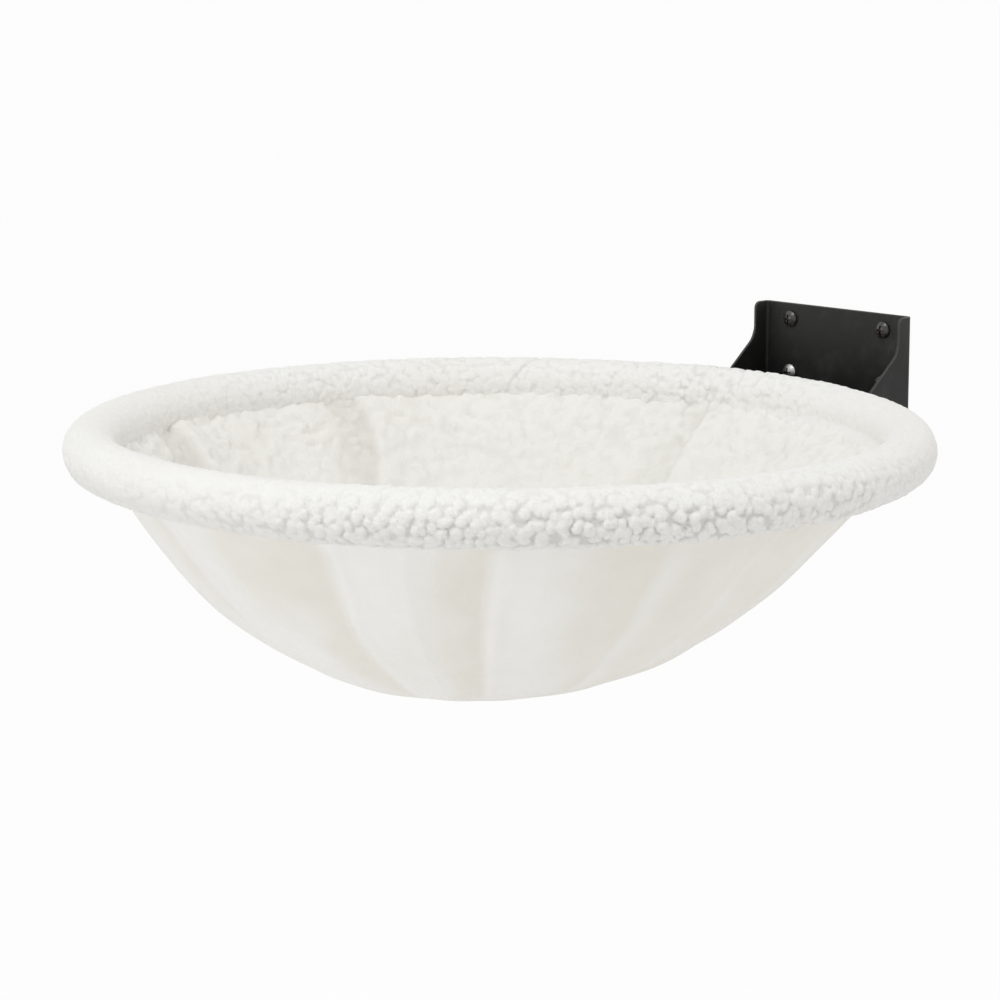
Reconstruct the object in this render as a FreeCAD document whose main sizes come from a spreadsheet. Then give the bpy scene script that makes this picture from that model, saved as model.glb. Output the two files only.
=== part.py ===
import FreeCAD, Part
import math
import os

import Sketcher
from FreeCAD import Placement, Rotation, Vector

# Wall-mounted cat hammock: a fleece bowl on a steel hoop, bolted to a folded wall bracket.
# Frame: the wall is the plane Y = 0 and the room is towards -Y, +Z is up, and the origin is
# the centre of the four wall screws on the wall face. Lengths are millimetres.

# Driving sizes, piece by piece.
SIZES = {
    # wall bracket
    "plate_width": 110.0,
    "plate_top_margin": 9.5,
    "sheet_gauge": 1.5,
    "bend_radius": 1.5,
    "shelf_drop": 16.0,
    "cheek_top_depth": 12.0,
    "cheek_top_length": 20.0,
    "cheek_foot_depth": 54.5,
    "cheek_nose_height": 4.0,
    "cheek_corner_radius": 4.0,
    "cheek_sweep_radius": 14.0,
    "edge_round": 0.35,
    # wall screws
    "screw_span": 70.0,
    "screw_rise": 32.0,
    "screw_shank_diameter": 4.8,
    "screw_neck_diameter": 4.2,
    "screw_hole_diameter": 5.4,
    "screw_head_diameter": 9.6,
    "screw_head_rim": 1.2,
    "screw_head_height": 3.4,
    "screw_length": 22.0,
    "screw_point_length": 7.0,
    "recess_span": 5.2,
    "recess_slot": 1.1,
    "recess_depth": 1.9,
    # hoop
    "hoop_diameter": 435.0,
    "tube_diameter": 16.0,
    "tube_wall": 1.5,
    # tongue under the hoop, with its weld beads
    "tongue_width": 90.0,
    "tongue_thickness": 4.0,
    "tongue_lead": 7.0,
    "tongue_rear_gap": 8.0,
    "tongue_corner_radius": 8.0,
    "seat_depth": 1.0,
    "seat_clearance": 0.05,
    "weld_radius": 1.5,
    "weld_end_gap": 4.0,
    # bolts, washers and lock nuts
    "bolt_diameter": 6.0,
    "bolt_hole_diameter": 6.6,
    "bolt_span": 56.0,
    "bolt_setback": 26.0,
    "bolt_head_width": 10.0,
    "bolt_head_height": 4.0,
    "bolt_tail": 2.0,
    "washer_diameter": 12.0,
    "washer_bore": 6.4,
    "washer_thickness": 1.2,
    "nut_width": 10.0,
    "nut_hex_height": 4.5,
    "nut_collar_height": 1.8,
    "nut_clearance": 0.06,
    # fleece rim
    "rim_diameter": 29.0,
    "rim_gap": 2.0,
    "sleeve_clearance": 0.3,
    "slot_clearance": 0.5,
    # hanging bowl
    "bowl_depth": 132.0,
    "bowl_lean": 17.0,
    "shell_thickness": 1.6,
    "liner_thickness": 5.0,
    "layer_gap": 0.4,
    "seam_gap": 0.3,
    "fold_depth": 6.5,
    # how far cutting tools run past what they cut
    "overrun": 3.0,
}

# Shares of the pieces that carry them.
WELD_RISE_SHARE = 0.5
COLLAR_WIDTH_SHARE = 0.88
HEX_CORNER_SHARE = 1 / math.sqrt(3)
HEX_CHAMFER_SHARE = math.tan(math.radians(30))

# The bowl's outer line from the seam to its lowest point: share of the hoop's radius, share of
# the bowl's depth, share of the lean and share of the fold depth.
BOWL_LINE_SHARES = (
    (0.975, 0.061, 0.00, 0.00),
    (0.915, 0.151, 0.10, 0.60),
    (0.835, 0.302, 0.30, 1.00),
    (0.735, 0.489, 0.52, 1.00),
    (0.600, 0.682, 0.76, 0.80),
    (0.440, 0.846, 0.92, 0.50),
    (0.270, 0.946, 1.00, 0.18),
    (0.110, 1.000, 1.00, 0.00),
)

# The creases that gather the bowl, once round it: share of a turn from the first crease, and share
# of the fold depth there.
FIRST_CREASE_DEGREES = -107.0
CREASE_SHARES = (
    (0.000, 0.90),
    (0.097, 1.00),
    (0.169, 1.00),
    (0.244, 0.60),
    (0.297, 0.50),
    (0.353, 0.60),
    (0.414, 0.70),
    (0.486, 0.60),
    (0.567, 0.90),
    (0.653, 0.60),
    (0.736, 1.00),
    (0.853, 1.00),
    (0.931, 0.80),
)

doc = FreeCAD.newDocument("cat_hammock")
sheet = doc.addObject("Spreadsheet::Sheet", "Sizes")
for row, (name, number) in enumerate(SIZES.items(), start=1):
    sheet.set(f"A{row}", name)
    sheet.set(f"B{row}", str(number))
    sheet.setAlias(f"B{row}", name)
doc.recompute()


class Size:
    """A length, as a number and as the sheet expression that gives it."""

    def __init__(self, value, text):
        self.value = value
        self.text = text

    def __neg__(self):
        return Size(-self.value, f"(-{self.text})")

    def __add__(self, other):
        return Size(self.value + other.value, f"({self.text} + {other.text})")

    def __sub__(self, other):
        return Size(self.value - other.value, f"({self.text} - {other.text})")

    def __mul__(self, share):
        return Size(self.value * share, f"({self.text} * {share!r})")

    def __truediv__(self, share):
        return Size(self.value / share, f"({self.text} / {share!r})")

    def half(self):
        return self / 2


def size(name):
    """The sheet's own value of a driving size."""
    return Size(float(sheet.get(name)), f"Sizes.{name}")


def leg(long_side, short_side):
    """The other leg of a right triangle."""
    value = math.sqrt(long_side.value ** 2 - short_side.value ** 2)
    text = f"sqrt({long_side.text} ^ 2 - {short_side.text} ^ 2)"
    return Size(value, text)


def arc_radius(half_chord, rise):
    """The radius of an arc with this half chord and rise."""
    value = (half_chord.value ** 2 + rise.value ** 2) / (2 * rise.value)
    text = f"(({half_chord.text} ^ 2 + {rise.text} ^ 2) / (2 * {rise.text}))"
    return Size(value, text)


# Directions, the length of nothing, and how close two places are to be the same.
UPRIGHT = Vector(0, 0, 1)
SIDEWAYS = Vector(1, 0, 0)
NO_LENGTH = Size(0, "0")
SAME_PLACE = 1e-5

# Places that several pieces share.
sheet_gauge = size("sheet_gauge")
overrun = size("overrun")
plate_half = size("plate_width").half()
cheek_inside = plate_half - sheet_gauge
screw_across = size("screw_span").half()
screw_up = size("screw_rise").half()
plate_top = screw_up + size("plate_top_margin")
shelf_top = -(screw_up + size("shelf_drop"))
plate_foot = shelf_top - sheet_gauge
plate_height = plate_top - plate_foot
hoop_radius = size("hoop_diameter").half()
tube_radius = size("tube_diameter").half()
rim_radius = size("rim_diameter").half()
tongue_top = shelf_top + size("tongue_thickness")
hoop_level = tongue_top - size("seat_depth") + tube_radius
hoop_distance = size("cheek_foot_depth") + size("rim_gap") + leg(hoop_radius + rim_radius, plate_half)
hoop_y = -hoop_distance
rim_rear_depth = hoop_distance - hoop_radius - rim_radius
shelf_depth = rim_rear_depth - size("rim_gap")
bolt_y = -(sheet_gauge + size("bolt_setback"))
bolt_half_span = size("bolt_span").half()
bolt_radius = size("bolt_diameter").half()


# Building blocks.
def bind(thing, name, length):
    thing.setExpression(name, length.text)


def bind_place(thing, x=None, y=None, z=None):
    """Ties a piece's place to the sheet; a coordinate left out stays zero."""
    for axis, length in (("x", x), ("y", y), ("z", z)):
        if length is not None:
            bind(thing, f"Placement.Base.{axis}", length)


def new_body(name):
    body = doc.addObject("PartDesign::Body", name)
    body.Label = name
    return body


def new_sketch(body, role, name, lift=None):
    """A sketch on one of the body's origin planes, lifted along its normal if asked."""
    sketch = body.newObject("Sketcher::SketchObject", name)
    plane = [feature for feature in body.Origin.OriginFeatures if feature.Role == role][0]
    sketch.AttachmentSupport = [(plane, "")]
    sketch.MapMode = "FlatFace"
    if lift is not None:
        sketch.AttachmentOffset = Placement(Vector(0, 0, lift.value), Rotation())
        bind(sketch, "AttachmentOffset.Base.z", lift)
    return sketch


def pin(sketch, element, point, x, y):
    """Dimensions one sketch point from the sketch's origin."""
    for kind, length, axis in (("DistanceX", x, -2), ("DistanceY", y, -1)):
        if length is None:
            sketch.addConstraint(Sketcher.Constraint("PointOnObject", element, point, axis))
        else:
            rule = Sketcher.Constraint(kind, -1, 1, element, point, length.value)
            bind(sketch, f"Constraints[{sketch.addConstraint(rule)}]", length)


def flat_point(x, y):
    return Vector(x.value if x else 0, y.value if y else 0, 0)


def add_outline(sketch, corners, arcs=None):
    """A closed outline of lines; arcs maps a side's number to its radius and centre."""
    arcs = arcs or {}
    count = len(corners)
    points = [flat_point(*corner) for corner in corners]
    for side in range(count):
        start = points[side]
        end = points[(side + 1) % count]
        if side in arcs:
            radius, centre, turns_left = arcs[side]
            middle = flat_point(*centre)
            angles = [math.atan2(point.y - middle.y, point.x - middle.x) for point in (start, end)]
            if not turns_left:
                angles.reverse()
            circle = Part.Circle(middle, Vector(0, 0, 1), radius.value)
            sketch.addGeometry(Part.ArcOfCircle(circle, *angles), False)
            rule = Sketcher.Constraint("Radius", side, radius.value)
            bind(sketch, f"Constraints[{sketch.addConstraint(rule)}]", radius)
        else:
            sketch.addGeometry(Part.LineSegment(start, end), False)

    def ends(side):
        backwards = side in arcs and not arcs[side][2]
        return (2, 1) if backwards else (1, 2)

    for side in range(count):
        following = (side + 1) % count
        join = Sketcher.Constraint("Coincident", side, ends(side)[1], following, ends(following)[0])
        sketch.addConstraint(join)
        pin(sketch, side, ends(side)[0], *corners[side])


def add_circle(sketch, x, y, radius):
    circle = Part.Circle(flat_point(x, y), Vector(0, 0, 1), radius.value)
    element = sketch.addGeometry(circle, False)
    rule = Sketcher.Constraint("Radius", element, radius.value)
    bind(sketch, f"Constraints[{sketch.addConstraint(rule)}]", radius)
    pin(sketch, element, 3, x, y)


def add_feature(body, kind, name, sketch, length=None, side="One side"):
    feature = body.newObject(f"PartDesign::{kind}", name)
    feature.Profile = sketch
    feature.SideType = side
    bind(feature, "Length", length)
    sketch.Visibility = False
    doc.recompute()
    return feature


def cut_feature(body, name, sketch, length, side="Symmetric"):
    """A pocket that has to take something away."""
    before = body.Shape.Volume
    feature = add_feature(body, "Pocket", name, sketch, length, side)
    if not body.Shape.Volume < before:
        raise RuntimeError(f"{name} cuts nothing")
    return feature


def turn_feature(body, kind, name, sketch):
    """A full turn of a sketch about the body's own Z axis."""
    before = body.Shape.Volume if body.Tip else 0
    feature = body.newObject(f"PartDesign::{kind}", name)
    feature.Profile = sketch
    axis = [line for line in body.Origin.OriginFeatures if line.Role == "Z_Axis"][0]
    feature.ReferenceAxis = (axis, [""])
    feature.Angle = 360
    doc.recompute()
    if kind == "Groove" and not body.Shape.Volume < before:
        raise RuntimeError(f"{name} cuts nothing")
    return feature


def round_edges(body, name, radius, along, wanted):
    """Rounds the straight edges along one direction whose two ends both pass the test."""
    base = body.Tip
    names = []
    for number, edge in enumerate(base.Shape.Edges, start=1):
        ends = [vertex.Point for vertex in edge.Vertexes]
        if not all(wanted(point) for point in ends):
            continue
        if (ends[-1] - ends[0]).cross(along).Length < SAME_PLACE:
            names.append(f"Edge{number}")
    if not names:
        raise RuntimeError(f"{name} finds no edge")
    feature = body.newObject("PartDesign::Fillet", name)
    feature.Base = (base, names)
    bind(feature, "Radius", radius)
    doc.recompute()
    return feature


def near(number, length):
    return math.isclose(number, length.value, abs_tol=SAME_PLACE)


def mirrored_pair(name, right_one):
    """One node of two alike pieces, the left one mirrored across the middle plane."""
    left_one = doc.addObject("Part::Mirroring", f"{name}_left")
    left_one.Source = right_one
    left_one.Normal = Vector(1, 0, 0)
    pair = doc.addObject("Part::Compound", name)
    pair.Label = name
    pair.Links = [right_one, left_one]
    return pair


def boolean(kind, name, base, tool):
    result = doc.addObject(f"Part::{kind}", name)
    result.Label = name
    result.Base = base
    result.Tool = tool
    return result


def hoop_ring(name, ring_radius, section_radius, level=hoop_level):
    """A ring about the hoop's own upright axis."""
    ring = doc.addObject("Part::Torus", name)
    bind(ring, "Radius1", ring_radius)
    bind(ring, "Radius2", section_radius)
    bind_place(ring, y=hoop_y, z=level)
    return ring


# Wall bracket: back plate, two cheeks with a swept front edge, and the shelf between them.
def make_wall_bracket():
    body = new_body("wall_bracket")
    bind_place(body, z=plate_foot)
    foot_depth = size("cheek_foot_depth")
    top_depth = size("cheek_top_depth")
    sweep_height = plate_height - size("cheek_top_length")
    nose_height = size("cheek_nose_height")

    channel = new_sketch(body, "XY_Plane", "channel_outline")
    add_outline(channel, [
        (-plate_half, None),
        (plate_half, None),
        (plate_half, -foot_depth),
        (cheek_inside, -foot_depth),
        (cheek_inside, -sheet_gauge),
        (-cheek_inside, -sheet_gauge),
        (-cheek_inside, -foot_depth),
        (-plate_half, -foot_depth),
    ])
    add_feature(body, "Pad", "channel", channel, plate_height)

    trim = new_sketch(body, "YZ_Plane", "cheek_trim_outline")
    add_outline(trim, [
        (-top_depth, plate_height + overrun),
        (-top_depth, sweep_height),
        (-foot_depth, nose_height),
        (-(foot_depth + overrun), nose_height),
        (-(foot_depth + overrun), plate_height + overrun),
    ])
    cut_feature(body, "cheek_trim", trim, size("plate_width") + overrun)

    round_edges(body, "outer_folds", size("bend_radius") + sheet_gauge, UPRIGHT,
                lambda point: near(abs(point.x), plate_half) and near(point.y, NO_LENGTH))
    round_edges(body, "inner_folds", size("bend_radius"), UPRIGHT,
                lambda point: near(abs(point.x), cheek_inside) and near(point.y, -sheet_gauge))
    round_edges(body, "cheek_corners", size("cheek_corner_radius"), SIDEWAYS,
                lambda point: near(point.y, -top_depth) and near(point.z, plate_height))
    round_edges(body, "cheek_sweeps", size("cheek_sweep_radius"), SIDEWAYS,
                lambda point: near(point.y, -top_depth) and near(point.z, sweep_height))

    shelf = new_sketch(body, "XY_Plane", "shelf_outline")
    add_outline(shelf, [
        (-cheek_inside, -sheet_gauge),
        (-cheek_inside, -shelf_depth),
        (cheek_inside, -shelf_depth),
        (cheek_inside, -sheet_gauge),
    ])
    add_feature(body, "Pad", "shelf", shelf, sheet_gauge)

    wall_holes = new_sketch(body, "XZ_Plane", "wall_hole_centres")
    for x in (screw_across, -screw_across):
        for z in (screw_up, -screw_up):
            add_circle(wall_holes, x, z - plate_foot, size("screw_hole_diameter").half())
    cut_feature(body, "wall_holes", wall_holes, (sheet_gauge + overrun) * 2)

    bolt_holes = new_sketch(body, "XY_Plane", "bolt_hole_centres")
    for x in (bolt_half_span, -bolt_half_span):
        add_circle(bolt_holes, x, bolt_y, size("bolt_hole_diameter").half())
    cut_feature(body, "bolt_holes", bolt_holes, (sheet_gauge + overrun) * 2)

    def on_top_edge(point):
        on_a_face = near(point.y, NO_LENGTH) or near(point.y, -sheet_gauge)
        return on_a_face and near(point.z, plate_height)

    round_edges(body, "sheet_edges", size("edge_round"), SIDEWAYS, on_top_edge)
    return body


# Pan-head wall screw with a cross recess: a plain neck through the sheet, then the shank in the wall.
def make_wall_screw(name, across, row_height):
    body = new_body(name)
    body.Placement = Placement(Vector(), Rotation(Vector(1, 0, 0), 90))
    bind_place(body, x=across, y=-sheet_gauge, z=row_height)
    head_radius = size("screw_head_diameter").half()
    shank_radius = size("screw_shank_diameter").half()
    neck_radius = size("screw_neck_diameter").half()
    head_height = size("screw_head_height")
    head_rim = size("screw_head_rim")
    length = size("screw_length")
    dome_radius = arc_radius(head_radius, head_height - head_rim)

    profile = new_sketch(body, "XZ_Plane", f"{name}_profile")
    add_outline(profile, [
        (None, -length),
        (shank_radius, size("screw_point_length") - length),
        (shank_radius, -sheet_gauge),
        (neck_radius, -sheet_gauge),
        (neck_radius, None),
        (head_radius, None),
        (head_radius, head_rim),
        (None, head_height),
    ], arcs={6: (dome_radius, (None, head_height - dome_radius), True)})
    turn_feature(body, "Revolution", f"{name}_turned", profile)

    arm = size("recess_span").half()
    slot = size("recess_slot").half()
    cross = new_sketch(body, "XY_Plane", f"{name}_cross", lift=head_height)
    add_outline(cross, [
        (arm, -slot), (arm, slot), (slot, slot), (slot, arm),
        (-slot, arm), (-slot, slot), (-arm, slot), (-arm, -slot),
        (-slot, -slot), (-slot, -arm), (slot, -arm), (slot, -slot),
    ])
    cut_feature(body, f"{name}_recess", cross, size("recess_depth"), "One side")
    return body


# Hoop: one steel tube bent to a ring.
def make_hoop():
    outside = hoop_ring("hoop_outside", hoop_radius, tube_radius)
    inside = hoop_ring("hoop_inside", hoop_radius, tube_radius - size("tube_wall"))
    return boolean("Cut", "hoop", outside, inside)


# Tongue: a flat bar under the back of the hoop, grooved where the tube sits.
def make_hoop_tongue():
    body = new_body("tongue_blank")
    bind_place(body, z=shelf_top)
    half_width = size("tongue_width").half()
    rear_y = -(sheet_gauge + size("tongue_rear_gap"))
    front_radius = hoop_radius - size("tongue_lead")
    front_y = hoop_y + leg(front_radius, half_width)
    plan = new_sketch(body, "XY_Plane", "tongue_outline")
    add_outline(plan, [
        (half_width, rear_y),
        (-half_width, rear_y),
        (-half_width, front_y),
        (half_width, front_y),
    ], arcs={2: (front_radius, (None, hoop_y), False)})
    add_feature(body, "Pad", "tongue_plate", plan, size("tongue_thickness"))
    holes = new_sketch(body, "XY_Plane", "tongue_hole_centres")
    for x in (bolt_half_span, -bolt_half_span):
        add_circle(holes, x, bolt_y, size("bolt_hole_diameter").half())
    cut_feature(body, "tongue_holes", holes, (size("tongue_thickness") + overrun) * 2)
    round_edges(body, "tongue_corners", size("tongue_corner_radius"), UPRIGHT,
                lambda point: near(abs(point.x), half_width) and near(point.y, rear_y))
    seat = hoop_ring("tongue_seat", hoop_radius, tube_radius + size("seat_clearance"))
    return boolean("Cut", "hoop_tongue", body, seat)


# Weld beads: one on each side of the tube, along the tongue.
def make_tongue_welds(tongue):
    weld_radius = size("weld_radius")
    half_seat = leg(tube_radius, tube_radius - size("seat_depth"))
    weld_level = tongue_top + weld_radius * WELD_RISE_SHARE
    reach = half_seat + weld_radius
    beads = []
    for side, ring_radius in (("rear", hoop_radius + reach), ("front", hoop_radius - reach)):
        bead = hoop_ring(f"{side}_bead", ring_radius, weld_radius, weld_level)
        span = doc.addObject("Part::Box", f"{side}_bead_span")
        width = size("tongue_width") - size("weld_end_gap") * 2
        bind(span, "Length", width)
        bind(span, "Width", hoop_radius + rim_radius)
        bind(span, "Height", weld_radius * 4)
        bind_place(span, x=-width.half(), y=hoop_y, z=weld_level - weld_radius * 2)
        kept = boolean("Common", f"{side}_bead_kept", bead, span)
        tube = hoop_ring(f"{side}_bead_tube", hoop_radius, tube_radius)
        off_tube = boolean("Cut", f"{side}_bead_off_tube", kept, tube)
        beads.append(boolean("Cut", f"{side}_weld", off_tube, tongue))
    welds = doc.addObject("Part::Compound", "tongue_welds")
    welds.Label = "tongue_welds"
    welds.Links = beads
    return welds


def add_hexagon(sketch, width):
    corner = width * HEX_CORNER_SHARE
    flat = width.half()
    add_outline(sketch, [
        (corner, None), (corner.half(), flat), (-corner.half(), flat),
        (-corner, None), (-corner.half(), -flat), (corner.half(), -flat),
    ])


def chamfer_hexagon(body, name, width, top):
    """Turns the sharp corners off the upper end of a hexagon."""
    flat = width.half()
    outside = width * HEX_CORNER_SHARE + overrun
    drop = (outside - flat) * HEX_CHAMFER_SHARE
    sketch = new_sketch(body, "XZ_Plane", f"{name}_outline")
    add_outline(sketch, [
        (flat, top),
        (outside, top - drop),
        (outside, top + overrun),
        (flat, top + overrun),
    ])
    turn_feature(body, "Groove", name, sketch)


# Bolts down through tongue and shelf, heads up.
def make_tongue_bolts():
    body = new_body("tongue_bolt_right")
    seat = tongue_top + size("washer_thickness")
    bind_place(body, x=bolt_half_span, y=bolt_y, z=seat)
    grip = seat - plate_foot + size("washer_thickness")
    length = grip + size("nut_hex_height") + size("nut_collar_height") + size("bolt_tail")
    head = new_sketch(body, "XY_Plane", "bolt_head_outline")
    add_hexagon(head, size("bolt_head_width"))
    add_feature(body, "Pad", "bolt_head", head, size("bolt_head_height"))
    chamfer_hexagon(body, "bolt_head_chamfer", size("bolt_head_width"), size("bolt_head_height"))
    shank = new_sketch(body, "XY_Plane", "bolt_shank_outline")
    add_circle(shank, None, None, bolt_radius)
    pad = add_feature(body, "Pad", "bolt_shank", shank, length)
    pad.Reversed = True
    return mirrored_pair("tongue_bolts", body)


def make_washers(name, level):
    body = new_body(f"{name}_right")
    bind_place(body, x=bolt_half_span, y=bolt_y, z=level)
    ring = new_sketch(body, "XY_Plane", f"{name}_outline")
    add_circle(ring, None, None, size("washer_diameter").half())
    add_circle(ring, None, None, size("washer_bore").half())
    add_feature(body, "Pad", f"{name}_ring", ring, size("washer_thickness"))
    return mirrored_pair(name, body)


# Lock nuts under the shelf, each a hexagon with a collar below.
def make_lock_nuts():
    body = new_body("lock_nut_right")
    body.Placement = Placement(Vector(), Rotation(Vector(1, 0, 0), 180))
    bind_place(body, x=bolt_half_span, y=bolt_y, z=plate_foot - size("washer_thickness"))
    hexagon = new_sketch(body, "XY_Plane", "nut_outline")
    add_hexagon(hexagon, size("nut_width"))
    add_feature(body, "Pad", "nut_hexagon", hexagon, size("nut_hex_height"))
    chamfer_hexagon(body, "nut_chamfer", size("nut_width"), size("nut_hex_height"))
    collar = new_sketch(body, "XY_Plane", "nut_collar_outline")
    add_circle(collar, None, None, size("nut_width").half() * COLLAR_WIDTH_SHARE)
    nut_height = size("nut_hex_height") + size("nut_collar_height")
    add_feature(body, "Pad", "nut_collar", collar, nut_height)
    bore = new_sketch(body, "XY_Plane", "nut_bore_outline")
    add_circle(bore, None, None, bolt_radius + size("nut_clearance"))
    cut_feature(body, "nut_bore", bore, (nut_height + overrun) * 2)
    return mirrored_pair("lock_nuts", body)


# Fleece sleeve round the hoop, slotted at the back for the tongue and its welds.
def make_rim_sleeve():
    outside = hoop_ring("sleeve_outside", hoop_radius, rim_radius)
    inside = hoop_ring("sleeve_inside", hoop_radius, tube_radius + size("sleeve_clearance"))
    plain = boolean("Cut", "plain_sleeve", outside, inside)
    gap = size("slot_clearance")
    width = size("tongue_width") + gap * 2
    low = shelf_top - gap
    high = tongue_top + size("weld_radius") * (1 + WELD_RISE_SHARE) + gap
    span = doc.addObject("Part::Box", "slot_span")
    bind(span, "Length", width)
    bind(span, "Width", hoop_distance)
    bind(span, "Height", high - low)
    bind_place(span, x=-width.half(), y=hoop_y, z=low)
    core = doc.addObject("Part::Cylinder", "slot_core")
    bind(core, "Radius", hoop_radius - size("tongue_lead") - gap)
    bind(core, "Height", high - low + overrun * 2)
    bind_place(core, y=hoop_y, z=low - overrun)
    slot = boolean("Cut", "tongue_slot", span, core)
    return boolean("Cut", "rim_sleeve", plain, slot)


# Hanging bowl: two layers of cloth with gathered folds that fade towards the bottom.
def bowl_line(inset):
    """The bowl's line moved inwards, as radius, height, lean and fold depth of each ring."""
    rings = []
    for radius_share, depth_share, lean_share, fold_share in BOWL_LINE_SHARES:
        rings.append((
            hoop_radius.value * radius_share,
            hoop_level.value - size("bowl_depth").value * depth_share,
            size("bowl_lean").value * lean_share,
            size("fold_depth").value * fold_share,
        ))
    moved = []
    for number, (radius, height, lean, fold) in enumerate(rings):
        before = rings[max(number - 1, 0)]
        after = rings[min(number + 1, len(rings) - 1)]
        along = Vector(after[0] - before[0], after[1] - before[1], 0).normalize()
        inwards = Vector(along.y, -along.x, 0) if number < len(rings) - 1 else Vector(0, 1, 0)
        moved.append((radius + inwards.x * inset, height + inwards.y * inset, lean, fold))
    return moved


def bowl_ring(radius, height, lean, fold):
    """One level ring of the bowl: an arc that swells out from each crease to the next."""
    centre = Vector(0, hoop_y.value - lean, height)
    first = math.radians(FIRST_CREASE_DEGREES)

    def spot(turn_share, rise):
        angle = first + 2 * math.pi * turn_share
        return centre + Vector(math.cos(angle), math.sin(angle), 0) * (radius + rise)

    edges = []
    for number, (here, strength) in enumerate(CREASE_SHARES):
        after, next_strength = CREASE_SHARES[(number + 1) % len(CREASE_SHARES)]
        after += here > after
        start = spot(here, -fold * strength / 2)
        crest = spot((here + after) / 2, fold * (strength + next_strength) / 4)
        end = spot(after, -fold * next_strength / 2)
        edges.append(Part.Arc(start, crest, end).toShape())
    return Part.Wire(edges)


def bowl_form(inset):
    return Part.makeLoft([bowl_ring(*ring) for ring in bowl_line(inset)], True, False)


def make_bowl_layer(name, inset, thickness):
    rim_room = Part.makeTorus(hoop_radius.value, rim_radius.value + size("seam_gap").value)
    rim_room.translate(Vector(0, hoop_y.value, hoop_level.value))
    cloth = bowl_form(inset).cut(bowl_form(inset + thickness)).cut(rim_room)
    layer = doc.addObject("Part::Feature", name)
    layer.Label = name
    layer.Shape = max(cloth.Solids, key=lambda solid: solid.Volume)
    layer.Placement = Placement()
    return layer


hoop_tongue = make_hoop_tongue()
liner_inset = size("shell_thickness").value + size("layer_gap").value
nodes = [
    make_wall_bracket(),
    mirrored_pair("upper_wall_screws", make_wall_screw("upper_right_screw", screw_across, screw_up)),
    make_wall_screw("lower_right_screw", screw_across, -screw_up),
    make_wall_screw("lower_left_screw", -screw_across, -screw_up),
    make_hoop(),
    hoop_tongue,
    make_tongue_welds(hoop_tongue),
    make_tongue_bolts(),
    make_washers("bolt_washers", tongue_top),
    make_washers("nut_washers", plate_foot - size("washer_thickness")),
    make_lock_nuts(),
    make_rim_sleeve(),
    make_bowl_layer("bowl_shell", 0, size("shell_thickness").value),
    make_bowl_layer("bowl_liner", liner_inset, size("liner_thickness").value),
]
doc.recompute()

for thing in doc.Objects:
    if "Invalid" in thing.State or "Error" in thing.State:
        raise RuntimeError(f"{thing.Name} failed: {thing.State}")
for node in nodes:
    if node.Shape.isNull() or not node.Shape.isValid():
        raise RuntimeError(f"{node.Label} has no valid shape")

os.makedirs("parts", exist_ok=True)
for node in nodes:
    node.Shape.exportStep(f"parts/{node.Label}.step")
    box = node.Shape.BoundBox
    corners = (box.XMin, box.YMin, box.ZMin, box.XMax, box.YMax, box.ZMax)
    print(node.Label, len(node.Shape.Solids), "solids", [round(number, 2) for number in corners])
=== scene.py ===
import math

import bpy
import numpy as np
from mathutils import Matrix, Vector, kdtree


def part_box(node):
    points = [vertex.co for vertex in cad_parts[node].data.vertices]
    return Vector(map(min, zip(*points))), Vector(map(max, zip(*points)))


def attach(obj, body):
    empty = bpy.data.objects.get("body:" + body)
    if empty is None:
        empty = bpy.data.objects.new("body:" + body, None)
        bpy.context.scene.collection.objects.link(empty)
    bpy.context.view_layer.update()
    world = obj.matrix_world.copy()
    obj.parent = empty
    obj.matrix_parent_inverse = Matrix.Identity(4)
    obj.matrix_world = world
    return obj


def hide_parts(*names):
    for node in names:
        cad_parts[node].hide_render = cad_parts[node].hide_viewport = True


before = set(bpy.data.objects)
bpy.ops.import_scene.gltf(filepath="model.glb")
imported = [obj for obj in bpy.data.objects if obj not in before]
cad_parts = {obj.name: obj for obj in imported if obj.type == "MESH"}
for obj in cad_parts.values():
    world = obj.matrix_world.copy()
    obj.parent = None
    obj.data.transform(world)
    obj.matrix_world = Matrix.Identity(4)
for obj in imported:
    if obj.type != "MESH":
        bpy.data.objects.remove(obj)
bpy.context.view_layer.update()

MM = 0.001
RANDOM_SEED = 435
rng = np.random.default_rng(RANDOM_SEED)

# Sizes shared with the solid model, in metres.
hoop_low, hoop_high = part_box("hoop")
HOOP_CENTRE = np.array((hoop_low + hoop_high) / 2)
HOOP_RADIUS = 217.5 * MM
RIM_RADIUS = 14.5 * MM
SCREW_SPAN = 70.0 * MM
SCREW_RISE = 32.0 * MM
SCREW_SHANK_RADIUS = 2.4 * MM
SCREW_TIP = 20.5 * MM
SCREW_POINT_LENGTH = 7.0 * MM
BOWL_DEPTH = 132.0 * MM
BOWL_LEAN = 17.0 * MM
FOLD_DEPTH = 8.5 * MM
SHELL_THICKNESS = 1.6 * MM
LAYER_GAP = 0.4 * MM
LINER_THICKNESS = 5.0 * MM

# The bowl's line from the seam to its lowest point, as in the solid model: share of the hoop's
# radius, of the depth, of the lean and of the fold depth.
BOWL_LINE = np.array((
    (0.975, 0.061, 0.00, 0.00),
    (0.915, 0.151, 0.10, 0.60),
    (0.835, 0.302, 0.30, 1.00),
    (0.735, 0.489, 0.52, 1.00),
    (0.600, 0.682, 0.76, 0.80),
    (0.440, 0.846, 0.92, 0.50),
    (0.270, 0.946, 1.00, 0.18),
    (0.110, 1.000, 1.00, 0.00),
))

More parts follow.
